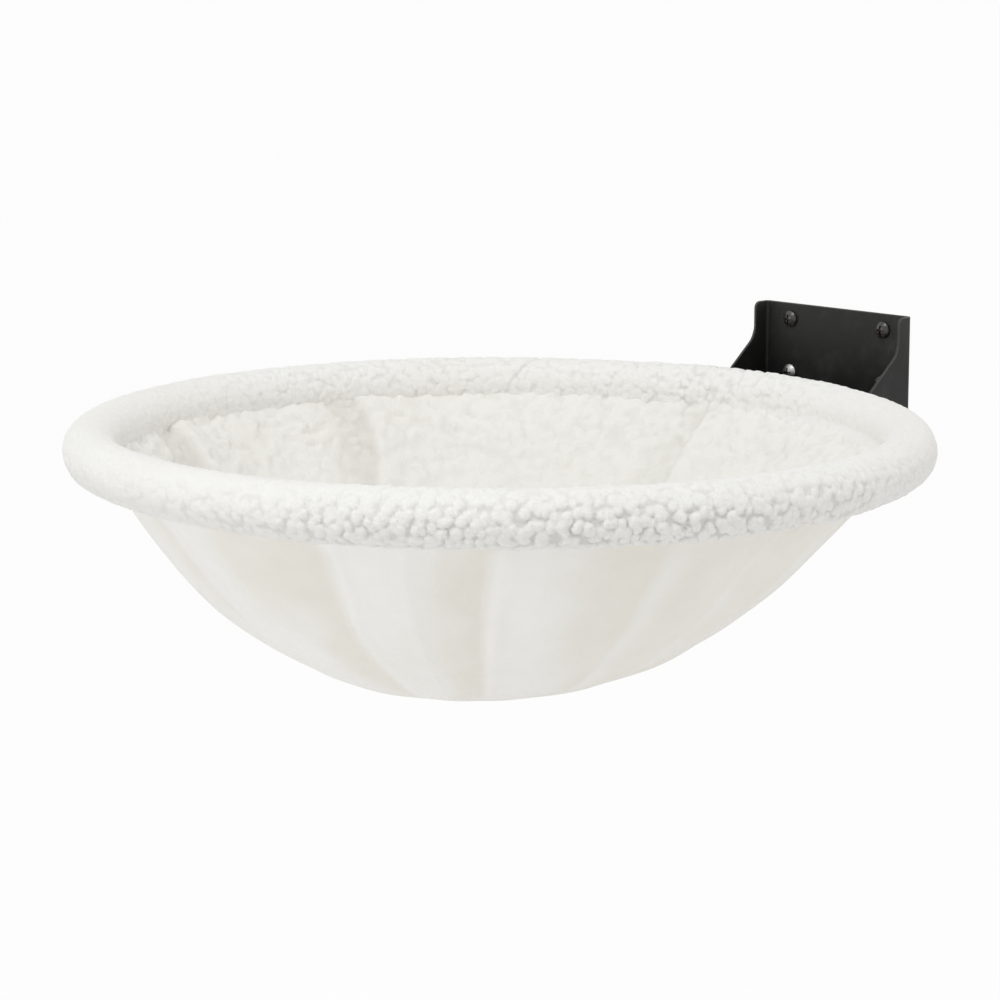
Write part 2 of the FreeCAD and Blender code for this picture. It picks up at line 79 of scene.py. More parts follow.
# The creases that gather the bowl. Each row: share of a turn from the first crease, share of the
# fold depth, share of the swell after it that is painted light (the rest painted shade) at the seam and
# at the lowest point, how strongly the painted light and shade shows, and how far the liner tucks in.
FIRST_CREASE = math.radians(-107)
PLACE, DEPTH, LIGHT_AT_SEAM, LIGHT_AT_LOWEST, PAINTED_LIGHT, TUCK = range(6)
CREASES = np.array((
    (0.000, 0.90, 0.60, 0.80, 1.10, 0.70),
    (0.097, 1.00, 0.92, 0.58, 1.00, 0.80),
    (0.169, 1.00, 0.44, 0.75, 0.95, 0.80),
    (0.244, 0.48, 0.15, 0.20, 0.50, 0.15),
    (0.297, 0.40, 0.10, 0.15, 0.45, 0.10),
    (0.353, 0.48, 0.15, 0.20, 0.50, 0.15),
    (0.414, 0.56, 0.40, 0.50, 0.60, 0.30),
    (0.486, 0.60, 0.60, 0.50, 0.70, 0.10),
    (0.567, 0.90, 0.45, 0.55, 0.90, 0.55),
    (0.653, 0.60, 0.55, 0.45, 0.70, 0.10),
    (0.736, 1.00, 0.60, 0.50, 1.00, 0.85),
    (0.845, 1.00, 0.50, 0.60, 0.90, 1.20),
    (0.931, 0.80, 0.95, 0.95, 0.60, 0.40),
))

# Smooth noise on arrays of points.
HASH_AXIS_STEPS = (374761393, 668265263, 2147483647)
HASH_SEED_STEP = 974634541
HASH_ROUNDS = ((13, 1274126177), (16, 2246822519))
HASH_LAST_SHIFT = 15
HASH_BITS = 0xFFFFFFFF
HASH_TOP = 0xFFFFFF


def lattice(cells, seed):
    """A number from 0 to 1 for each whole-numbered cell."""
    mixed = seed * HASH_SEED_STEP
    for axis, step in enumerate(HASH_AXIS_STEPS):
        mixed = mixed + cells[..., axis] * step
    mixed = mixed & HASH_BITS
    for shift, factor in HASH_ROUNDS:
        mixed = ((mixed ^ (mixed >> shift)) * factor) & HASH_BITS
    return ((mixed ^ (mixed >> HASH_LAST_SHIFT)) & HASH_TOP) / HASH_TOP


def soft_noise(points, cell, seed):
    """Value noise from -1 to 1 with features about one cell across."""
    scaled = points / cell
    whole = np.floor(scaled).astype(np.int64)
    part = scaled - whole
    ease = part * part * part * (part * (part * 6 - 15) + 10)
    total = np.zeros(points.shape[:-1])
    for x in (0, 1):
        for y in (0, 1):
            for z in (0, 1):
                corner = np.array((x, y, z))
                weight = np.prod(np.where(corner == 1, ease, 1 - ease), axis=-1)
                total += weight * lattice(whole + corner, seed)
    return total * 2 - 1


def smooth_step(low, high, value):
    """Zero at low and one at high, easing in and out between them."""
    share = np.clip((value - low) / (high - low), 0, 1)
    return share * share * (3 - 2 * share)


def bell(value, middle, width):
    """One at the middle, fading to nothing on both sides of it."""
    return np.exp(-((value - middle) / width) ** 2)


def near_turn(turn, middle, width):
    """One at this angle round the hoop, in degrees, fading to nothing on both sides of it."""
    apart = (turn - math.radians(middle) + math.pi) % (2 * math.pi) - math.pi
    return bell(apart, 0, width)


# Fleece: a field of round puffs that press against each other.
PUFFS_IN_REACH = 4
PUFF_SKIRT_SLOPE = 0.6


def puff_field(points, seeds, widths, heights, blend):
    """For each point, the height of the puffs there, with soft creases between them."""
    tree = kdtree.KDTree(len(seeds))
    for number, seed in enumerate(seeds):
        tree.insert(seed, number)
    tree.balance()
    away = np.empty((len(points), PUFFS_IN_REACH))
    owner = np.empty((len(points), PUFFS_IN_REACH), dtype=np.int64)
    for number, point in enumerate(points):
        for place, (_, seed, distance) in enumerate(tree.find_n(point, PUFFS_IN_REACH)):
            away[number, place] = distance
            owner[number, place] = seed
    near = away / widths[owner]
    dome = np.sqrt(np.clip(1 - near ** 2, 0, 1))
    domes = heights[owner] * np.where(near < 1, dome, PUFF_SKIRT_SLOPE * (1 - near))
    return blend * np.log(np.exp(domes / blend).sum(axis=1))


# Meshes from grids of points.
def make_object(name, points, faces, attribute=None):
    """A smooth mesh, with one number per point of painted light and shade for its material to read."""
    mesh = bpy.data.meshes.new(name)
    mesh.from_pydata(points.reshape(-1, 3).tolist(), [], faces)
    mesh.polygons.foreach_set("use_smooth", [True] * len(mesh.polygons))
    if attribute is not None:
        layer = mesh.attributes.new("painted_light_and_shade", "FLOAT", "POINT")
        layer.data.foreach_set("value", attribute.ravel().astype(np.float32))
    mesh.update()
    thing = bpy.data.objects.new(name, mesh)
    bpy.context.scene.collection.objects.link(thing)
    return thing


def ring_faces(rows, columns, start=0, closed_rows=False):
    """Quads of a grid whose columns run right round, numbered row by row."""
    faces = []
    for row in range(rows if closed_rows else rows - 1):
        near = start + row * columns
        far = start + (row + 1) % rows * columns
        for column in range(columns):
            after = (column + 1) % columns
            faces.append((near + column, near + after, far + after, far + column))
    return faces


# Fleece rim round the hoop. Places round the hoop are in degrees and their widths in radians.
RIM_STEPS_ROUND = 1800
RIM_STEPS_ACROSS = 120
RIM_BASE_RADIUS = 12.9 * MM
RIM_PUFF_SPACING = 4.8 * MM
RIM_PUFF_HEIGHT = 2.7 * MM
RIM_PUFF_HEIGHTS = (0.6, 1.0)
RIM_PUFF_WIDTHS = (2.5, 3.7)
RIM_PUFF_BLEND = 0.12 * MM
RIM_PUFF_WANDER = 0.7 * MM
RIM_PUFF_JITTER = 0.46
RIM_WARP_CELL = 6 * MM
RIM_WARP_SEEDS = (11, 12, 13)
RIM_WARP = 0.9 * MM
RIM_CURL_HEIGHT = 0.28 * MM
RIM_LUMP_HEIGHT = 0.35 * MM

# Where the tufts stand up, and where the pile is brushed flat: place, width and share.
ROUGH_BACK = (98, 0.38)
FLUFFY_BACK = (155, 0.42)
BRUSHED_ZONES = ((256, 0.62, 0.86), (212, 0.35, 0.45), (39, 0.54, 0.95))
ROUGH_BACK_TUFTS = 0.12
ROUGH_BACK_INWARD = 0.42
FLUFFY_BACK_INWARD = 0.2

# The top and the inside of the rim are calmer than its outer side.
INWARD_TILT = 0.72
INWARD_SPAN = (0.88, -0.35)
INWARD_CALM = 0.68
INWARD_FILL = 1.2 * MM
BRUSHED_FILL = 0.9 * MM

# Fillet between the rim and the liner, fuller on one side.
FLANK_ACROSS = math.radians(213)
FLANK_WIDTH = math.radians(14)
FLANK_HEIGHT = 0.4 * MM
FLANK_FULL_HEIGHT = 5.8 * MM
FLANK_FULL_SIDE = (52, 0.85)

# Slanted seam that closes the sleeve.
SLEEVE_SEAM_TURN = math.radians(131)
SLEEVE_SEAM_SLANT = math.radians(-3.0)
SLEEVE_SEAM_TILT = 0.9
SLEEVE_SEAM_WIDTH = 1.4 * MM
SLEEVE_SEAM_DEPTH = 0.9 * MM

# Painted shade of the pile, from 0 to 1: darker between the puffs and along the sleeve seam, evened out
# where the pile is calm.
RIM_SHADE_LOWEST = 0.1
RIM_SHADE_CALM = 0.8
RIM_SHADE_SEAM = 0.35
RIM_CALM_INWARD = 0.6
RIM_CALM_BRUSHED = 0.8
RIM_CALM_MOST = 0.85


def rim_point(turn, across, reach):
    """A point at this angle round the hoop and round the rim's section; across 0 faces outwards."""
    out = HOOP_RADIUS + reach * np.cos(across)
    flat = np.stack([out * np.cos(turn), out * np.sin(turn), reach * np.sin(across)], axis=-1)
    return HOOP_CENTRE + flat


def jittered_rim_seeds(spacing, wander):
    """Middles of the puffs, in staggered rows that are shaken out of line."""
    columns = int(2 * math.pi * HOOP_RADIUS / spacing)
    rows = int(2 * math.pi * RIM_RADIUS / spacing)
    row, column = np.meshgrid(np.arange(rows), np.arange(columns), indexing="ij")
    shift = rng.uniform(-RIM_PUFF_JITTER, RIM_PUFF_JITTER, (2, rows, columns))
    turn = (column + (row % 2) * 0.5 + shift[0]) * 2 * math.pi / columns
    across = (row + shift[1]) * 2 * math.pi / rows
    reach = RIM_BASE_RADIUS + rng.uniform(-wander, wander, (rows, columns))
    return rim_point(turn, across, reach).reshape(-1, 3)


def make_rim():
    turn, across = np.meshgrid(
        np.arange(RIM_STEPS_ROUND) * 2 * math.pi / RIM_STEPS_ROUND,
        np.arange(RIM_STEPS_ACROSS) * 2 * math.pi / RIM_STEPS_ACROSS, indexing="ij")
    skin = rim_point(turn, across, np.full(turn.shape, RIM_BASE_RADIUS)).reshape(-1, 3)
    around = turn.reshape(-1)
    section = across.reshape(-1)

    warp = np.stack([soft_noise(skin, RIM_WARP_CELL, seed) for seed in RIM_WARP_SEEDS], axis=-1)
    seeds = jittered_rim_seeds(RIM_PUFF_SPACING, RIM_PUFF_WANDER)
    widths = rng.uniform(*RIM_PUFF_WIDTHS, len(seeds)) * MM
    heights = rng.uniform(*RIM_PUFF_HEIGHTS, len(seeds)) * RIM_PUFF_HEIGHT
    puffs = puff_field(skin + warp * RIM_WARP, seeds, widths, heights, RIM_PUFF_BLEND)
    curls = soft_noise(skin, 1.9 * MM, 14) * 0.6
    curls = curls + soft_noise(skin + warp * MM, 1.1 * MM, 15) * 0.4

    rough_back = near_turn(around, *ROUGH_BACK)
    fluffy_back = near_turn(around, *FLUFFY_BACK)
    brushed = sum(share * near_turn(around, middle, width) for middle, width, share in BRUSHED_ZONES)
    inward = smooth_step(*INWARD_SPAN, np.cos(section + INWARD_TILT))
    inward = inward * (1 - ROUGH_BACK_INWARD * rough_back - FLUFFY_BACK_INWARD * fluffy_back)
    patch = 0.88 + 0.12 * soft_noise(skin, 45 * MM, 21)
    strength = (1 - INWARD_CALM * inward) * (1 - brushed)
    strength = strength * (1 + ROUGH_BACK_TUFTS * rough_back) * patch

    lump = soft_noise(skin, 38 * MM, 31) * RIM_LUMP_HEIGHT
    seam_turn = SLEEVE_SEAM_TURN + SLEEVE_SEAM_SLANT * np.sin(section + SLEEVE_SEAM_TILT) - around
    seam = bell(seam_turn * HOOP_RADIUS, 0, SLEEVE_SEAM_WIDTH)
    flank = bell(section, FLANK_ACROSS, FLANK_WIDTH)
    flank_height = FLANK_HEIGHT + FLANK_FULL_HEIGHT * near_turn(around, *FLANK_FULL_SIDE)
    rise = puffs * strength + curls * RIM_CURL_HEIGHT + lump - seam * SLEEVE_SEAM_DEPTH
    rise = rise + INWARD_FILL * inward + BRUSHED_FILL * brushed * (1 - inward) + flank * flank_height
    points = rim_point(turn, across, (RIM_BASE_RADIUS + rise).reshape(turn.shape))

    # Painted shade: darker in the creases between the puffs and along the sleeve seam.
    shade = np.clip(RIM_SHADE_LOWEST + puffs / RIM_PUFF_HEIGHT, 0, 1)
    calm = np.clip(RIM_CALM_INWARD * inward + RIM_CALM_BRUSHED * brushed, 0, RIM_CALM_MOST)
    shade = np.clip(shade + (RIM_SHADE_CALM - shade) * calm - RIM_SHADE_SEAM * seam, 0, 1)
    faces = ring_faces(RIM_STEPS_ROUND, RIM_STEPS_ACROSS, closed_rows=True)
    return make_object("rim_fleece", points, [face[::-1] for face in faces], shade)


# Hanging bowl.
BOWL_LINE_STEPS = 4000

# Form of one swell between two creases, by its share of the way across.
CREST_PLACE = 0.5
CREST_SHIFT = 0.04
CREST_SHIFT_SIDE = math.radians(-45)
CREST_FLATTENING = 0.12
CREST_WIDTH = 0.45
CREASE_ROUNDING = 0.006
LIP_PLACE = 0.09
LIP_WIDTH = 0.06
LIP_FROM_STRENGTH = (0.45, 0.85)
LIP_HEIGHT = 0.17
LIP_UNEVEN = 0.13

# Painted light and shade on the flanks of the plush's swells, and the liner's tucks.
PAINTED_LIGHT_EDGE = (-0.20, 0.15)
PAINTED_LIGHT_UNEVEN = 0.15
PAINTED_LIGHT_FADE = 0.05
RIDGE_BEFORE = 0.10
RIDGE_AFTER = 0.03
HOLLOW_START = 0.04
HOLLOW_END = 0.36

# The folds' turn and sway on their way down.
FOLD_TWIST = 0.07
FOLD_TWIST_SPAN = (0.25, 1.0)
FOLD_SWAY = 0.025
FOLD_FADE = (1.0, 0.8)
TUCK_START = 9 * MM

# Fine puckers under the rim.
PUCKERS_ROUND = 74
PUCKER_HEIGHT = 0.9 * MM
PUCKER_REACH = 26 * MM

# Soft lumps of the hanging cloth, and one swell low on the front: heights in millimetres.
LUMPS_START = 30 * MM
WIDE_LUMPS = (55 * MM, 41, 1.3)
SMALL_LUMPS = (24 * MM, 42, 0.5)
BELLY_HEIGHT = 2.2
BELLY_SIDE = (20, 0.3)
BELLY_DROP = (0.77, 0.1)
POLE_FADE = 14 * MM


def natural_spline(knots, values, wanted):
    """A natural cubic spline through the values, read at the wanted places."""
    count = len(knots)
    step = np.diff(knots)
    slope = np.diff(values, axis=0) / step[:, None]
    system = np.eye(count)
    right = np.zeros((count,) + values.shape[1:])
    for row in range(1, count - 1):
        system[row, row - 1:row + 2] = step[row - 1], 2 * (step[row - 1] + step[row]), step[row]
        right[row] = 6 * (slope[row] - slope[row - 1])
    bend = np.linalg.solve(system, right)
    span = np.clip(np.searchsorted(knots, wanted) - 1, 0, count - 2)
    a = (knots[span + 1] - wanted)[:, None]
    b = (wanted - knots[span])[:, None]
    h = step[span][:, None]
    flat = a * (values[span] / h - bend[span] * h / 6)
    flat = flat + b * (values[span + 1] / h - bend[span + 1] * h / 6)
    return flat + (bend[span] * a ** 3 + bend[span + 1] * b ** 3) / (6 * h)


def bowl_rows(step, first_distance, inset):
    """Rows of radius, drop, lean and fold depth from inside the rim to the lowest point."""
    scale = np.array((HOOP_RADIUS, BOWL_DEPTH, BOWL_LEAN, FOLD_DEPTH))
    lines = BOWL_LINE * scale
    beyond = lines[::-1] * np.array((-1, 1, 1, 1))
    lines = np.concatenate([lines, beyond])
    lengths = np.hypot(np.diff(lines[:, 0]), np.diff(lines[:, 1]))
    knots = np.concatenate([[0], np.cumsum(lengths)])
    dense = natural_spline(knots, lines, np.linspace(0, knots[-1] / 2, BOWL_LINE_STEPS))
    along = np.gradient(dense[:, :2], axis=0)
    along /= np.linalg.norm(along, axis=1, keepdims=True)
    inner = dense[:, :2] + inset * np.stack([-along[:, 1], -along[:, 0]], axis=1)
    away = np.hypot(inner[:, 0] - HOOP_RADIUS, inner[:, 1])
    first = int(np.argmax(away > first_distance))
    travelled = np.concatenate([[0], np.cumsum(np.hypot(*np.diff(dense[:, :2], axis=0).T))])
    count = int((travelled[-1] - travelled[first]) / step)
    wanted = np.linspace(travelled[first], travelled[-1] - step * 0.5, count)
    rows = np.stack([np.interp(wanted, travelled, column) for column in dense.T], axis=1)
    return rows, wanted - wanted[0]


def fold_wave(turn, twist, pinch, uneven, drop_share):
    """Swell of the cloth from -0.5 in a deep crease to 0.5 on a crest, its painted light and shade, and
    inner tucks.
    """
    edges = np.append(CREASES[:, PLACE], 1.0)
    strengths = np.append(CREASES[:, DEPTH], CREASES[0, DEPTH])
    tucks = np.append(CREASES[:, TUCK], CREASES[0, TUCK])
    place = (turn - FIRST_CREASE - twist) / (2 * math.pi) % 1.0
    span = np.clip(np.searchsorted(edges, place, side="right") - 1, 0, len(CREASES) - 1)
    part = (place - edges[span]) / (edges[span + 1] - edges[span])

    strength = strengths[span] + (strengths[span + 1] - strengths[span]) * part
    crest = CREST_PLACE + CREST_SHIFT * np.cos(turn - CREST_SHIFT_SIDE)
    rising = part / crest
    falling = (1 - part) / (1 - crest)
    roof = np.minimum(rising, falling) - CREST_FLATTENING * bell(rising, falling, CREST_WIDTH)
    lip = pinch * bell(part, LIP_PLACE, LIP_WIDTH) * smooth_step(*LIP_FROM_STRENGTH, strength)
    wave = strength * (np.sqrt(roof ** 2 + CREASE_ROUNDING) - 0.5 + lip)

    # Painted light on the swell up to the light share, painted shade beyond it.
    at_seam = CREASES[span, LIGHT_AT_SEAM]
    at_lowest = CREASES[span, LIGHT_AT_LOWEST]
    light = at_seam + (at_lowest - at_seam) * drop_share + PAINTED_LIGHT_UNEVEN * uneven
    painted_light = CREASES[span, PAINTED_LIGHT] * (1 - 2 * smooth_step(light + PAINTED_LIGHT_EDGE[0], light + PAINTED_LIGHT_EDGE[1], part))
    painted_light = painted_light * smooth_step(0, PAINTED_LIGHT_FADE, part) * smooth_step(1, 1 - PAINTED_LIGHT_FADE, part)

    ridge = tucks[span + 1] * bell(part, 1, RIDGE_BEFORE) + tucks[span] * bell(part, 0, RIDGE_AFTER)
    hollow = smooth_step(0, HOLLOW_START, part) * smooth_step(HOLLOW_END, HOLLOW_START, part)
    return wave, painted_light, ridge, tucks[span] * hollow


def pucker_wave(turn):
    """Uneven ripples round the seam, from about -1 to 1."""
    phase = turn * PUCKERS_ROUND + 2.2 * np.sin(turn * 7 + 0.4) + 1.7 * np.sin(turn * 11)
    size = 0.75 + 0.25 * np.sin(turn * 13 + 1)
    return np.sin(phase) * size


def bowl_skin(step, columns, first_distance, inset, pinched):
    """The bowl's outer line as a grid of points, with outward normals, painted light and shade, and the
    inner tucks.
    """
    rows, way = bowl_rows(step, first_distance, inset)
    turn = np.arange(columns) * 2 * math.pi / columns
    angle = np.repeat(turn[None], len(rows), axis=0)
    drop_share = rows[:, 1:2] / BOWL_DEPTH
    drops = np.repeat(drop_share, columns, axis=1)
    sway = soft_noise(np.stack([np.cos(angle), np.sin(angle), drops], axis=-1), 0.3, 43)
    twist = FOLD_TWIST * smooth_step(*FOLD_TWIST_SPAN, drop_share) + FOLD_SWAY * sway
    uneven_place = np.stack([2 * np.cos(angle), 2 * np.sin(angle), 3 * drops], axis=-1)
    uneven = soft_noise(uneven_place, 0.5, 46)
    pinch = pinched * (LIP_HEIGHT + LIP_UNEVEN * uneven)
    wave, painted_light, ridge, hollow = fold_wave(angle, twist, pinch, uneven, drop_share)

    reach = rows[:, 0:1] + rows[:, 3:4] * wave
    reach = reach + pucker_wave(turn)[None] * np.exp(-(way[:, None] / PUCKER_REACH)) * PUCKER_HEIGHT
    centre_y = HOOP_CENTRE[1] - rows[:, 2:3]
    points = np.stack([
        HOOP_CENTRE[0] + reach * np.cos(angle),
        centre_y + reach * np.sin(angle),
        np.repeat(HOOP_CENTRE[2] - rows[:, 1:2], columns, axis=1)], axis=-1)

    round_way = np.roll(points, -1, axis=1) - np.roll(points, 1, axis=1)
    down_way = np.gradient(points, axis=0)
    normals = np.cross(down_way, round_way)
    normals /= np.linalg.norm(normals, axis=-1, keepdims=True)
    off_pole = smooth_step(0, POLE_FADE, rows[:, 0:1])[..., None]
    normals = normals * off_pole + np.array((0, 0, -1.0)) * (1 - off_pole)

    soft = sum(soft_noise(points, cell, seed) * size for cell, seed, size in (WIDE_LUMPS, SMALL_LUMPS))
    belly = BELLY_HEIGHT * near_turn(angle, *BELLY_SIDE) * bell(drop_share, *BELLY_DROP)
    swell = soft * smooth_step(0, LUMPS_START, way)[:, None] + belly
    points = points + normals * swell[..., None] * MM

    fade = smooth_step(*FOLD_FADE, drop_share)
    tuck = fade * smooth_step(0, TUCK_START, way)[:, None]
    return points, normals, painted_light * fade, ridge * tuck, hollow * tuck


def closed_sheet(name, outer, inner, shade_outer, shade_inner):
    """One closed piece of cloth from its outer and inner grids, joined at the seam."""
    rows, columns, _ = outer.shape
    poles = np.stack([outer[-1].mean(axis=0), inner[-1].mean(axis=0)])
    points = np.concatenate([outer.reshape(-1, 3), inner.reshape(-1, 3), poles])
    half = rows * columns
    faces = [face[::-1] for face in ring_faces(rows, columns)]
    faces += ring_faces(rows, columns, start=half)
    low = (rows - 1) * columns
    for column in range(columns):
        after = (column + 1) % columns
        faces.append((column, after, half + after, half + column)[::-1])
        faces.append((low + after, low + column, half * 2))
        faces.append((half + low + column, half + low + after, half * 2 + 1))
    pole_shades = (shade_outer[-1].mean(), shade_inner[-1].mean())
    shade = np.concatenate([shade_outer.ravel(), shade_inner.ravel(), pole_shades])
    return make_object(name, points, faces, shade)


# Outer plush: grid steps, and the painted light and shade on its swells.
SHELL_STEP = 2.2 * MM
SHELL_COLUMNS = 600
SHELL_FIRST_DISTANCE = 12.8 * MM
SHELL_SHADE = 0.5
SHELL_PAINTED_LIGHT = 0.44
SHELL_PAINTED_LIGHT_PATCHES = 0.3


def make_shell():
    outer, normals, painted_light, _, _ = bowl_skin(SHELL_STEP, SHELL_COLUMNS, SHELL_FIRST_DISTANCE, 0, 1)
    inner = outer - normals * SHELL_THICKNESS
    patches = soft_noise(outer, 70 * MM, 45)
    blotch = 0.12 * soft_noise(outer, 18 * MM, 44) + 0.16 * soft_noise(outer, 37 * MM, 47)
    # Painted light on one flank of each swell and painted shade on the other, plus blotches of tone
    # that vary at random.
    shade = np.clip(SHELL_SHADE + SHELL_PAINTED_LIGHT * painted_light * (1 + SHELL_PAINTED_LIGHT_PATCHES * patches) + blotch, 0, 1)
    return closed_sheet("bowl_plush", outer, inner, shade, np.full(shade.shape, SHELL_SHADE))


# Inner fleece: grid steps, tucks in millimetres, puffs, and painted shade of its pile: darker between
# the puffs and in the hollows behind the creases, painted light on the ridges.
LINER_STEP = 2.0 * MM
LINER_COLUMNS = 640
LINER_FIRST_DISTANCE = 12.6 * MM
LINER_INSET = 7 * MM
LINER_RIDGE = 3.2
LINER_HOLLOW = 2.2
LINER_SINK = 0.6
LINER_POINTS_PER_PUFF = 7
LINER_PUFF_SHIFT = 1.2 * MM
LINER_PUFF_WIDTHS = (2.6, 4.2)
LINER_PUFF_HEIGHTS = (0.6, 1.2)
LINER_PUFF_BLEND = 0.15 * MM
LINER_SEAM_PUFFS = 0.8
LINER_SEAM_SPAN = (45 * MM, 18 * MM)
LINER_WARP_CELL = 9 * MM
LINER_WARP_SEEDS = (51, 52, 53)
LINER_WARP = 1.4 * MM
LINER_SHADE = 0.62
LINER_SHADE_PUFF = 0.18
LINER_SHADE_HOLLOW = 0.7
LINER_SHADE_RIDGE = 0.1


def make_liner():
    skin, normals, _, ridge, hollow = bowl_skin(
        LINER_STEP, LINER_COLUMNS, LINER_FIRST_DISTANCE, LINER_INSET, 0)
    outer = skin - normals * (SHELL_THICKNESS + LAYER_GAP)
    tuck = LINER_RIDGE * ridge - LINER_HOLLOW * hollow - LINER_SINK
    thickness = LINER_THICKNESS + tuck * MM
    face = outer - normals * thickness[..., None]
    flat = face.reshape(-1, 3)

    pick = rng.permutation(len(flat))[:len(flat) // LINER_POINTS_PER_PUFF]
    warp = np.stack([soft_noise(flat, LINER_WARP_CELL, seed) for seed in LINER_WARP_SEEDS], axis=-1)
    seeds = flat[pick] + rng.uniform(-1, 1, (len(pick), 3)) * LINER_PUFF_SHIFT
    widths = rng.uniform(*LINER_PUFF_WIDTHS, len(seeds)) * MM
    near_seam = smooth_step(*LINER_SEAM_SPAN, HOOP_CENTRE[2] - seeds[:, 2])
    heights = rng.uniform(*LINER_PUFF_HEIGHTS, len(seeds)) * (1 + LINER_SEAM_PUFFS * near_seam) * MM
    puffs = puff_field(flat + warp * LINER_WARP, seeds, widths, heights, LINER_PUFF_BLEND)
    puffs = puffs.reshape(face.shape[:2])
    inner = face - normals * puffs[..., None]

    # Painted shade between the puffs and in the hollows, painted light on the ridges.
    shade = LINER_SHADE + LINER_SHADE_PUFF * puffs / MM
    shade = np.clip(shade - LINER_SHADE_HOLLOW * hollow + LINER_SHADE_RIDGE * ridge, 0, 1)
    return closed_sheet("bowl_fleece", outer, inner, np.ones(shade.shape), shade)


# Screw threads: a ridge that winds along each shank into the wall.
THREAD_PITCH = 1.9 * MM
THREAD_TOOTH = 0.55 * MM
THREAD_BASE = 1.1 * MM
THREAD_SUNK = 0.12 * MM
THREAD_START = 0.8 * MM
THREAD_END_GAP = 0.6 * MM
THREAD_STEPS_PER_TURN = 28
THREAD_RUN_IN_STEPS = 10
THREAD_TIP_TOOTH = 0.55


def make_threads(name, places):
    points = []
    faces = []
    length = SCREW_TIP - THREAD_END_GAP - THREAD_START
    count = int(length / THREAD_PITCH * THREAD_STEPS_PER_TURN)
    for side, rise in places:
        centre = np.array((side * SCREW_SPAN / 2, 0, rise * SCREW_RISE / 2))
        start = len(points)
        for number in range(count + 1):
            depth = THREAD_START + THREAD_PITCH * number / THREAD_STEPS_PER_TURN
            angle = 2 * math.pi * number / THREAD_STEPS_PER_TURN
            taper = min(1.0, (SCREW_TIP - depth) / SCREW_POINT_LENGTH)
            grow = min(1.0, number / THREAD_RUN_IN_STEPS, (count - number) / THREAD_RUN_IN_STEPS)
            tooth = THREAD_TOOTH * grow * (THREAD_TIP_TOOTH + (1 - THREAD_TIP_TOOTH) * taper)
            root = SCREW_SHANK_RADIUS * taper - THREAD_SUNK
            crest = SCREW_SHANK_RADIUS * taper + tooth
            out = np.array((math.cos(angle), 0, math.sin(angle)))
            for reach, shift in ((root, -0.5), (crest, -0.06), (crest, 0.06), (root, 0.5)):
                points.append(centre + out * reach + np.array((0, depth + shift * THREAD_BASE, 0)))
        for number in range(count):
            here = start + number * 4
            for corner in range(4):
                after = (corner + 1) % 4
                faces.append((here + corner, here + after, here + 4 + after, here + 4 + corner))
        faces.append((start + 3, start + 2, start + 1, start))
        last = start + count * 4
        faces.append((last, last + 1, last + 2, last + 3))
    return make_object(name, np.array(points), [face[::-1] for face in faces])


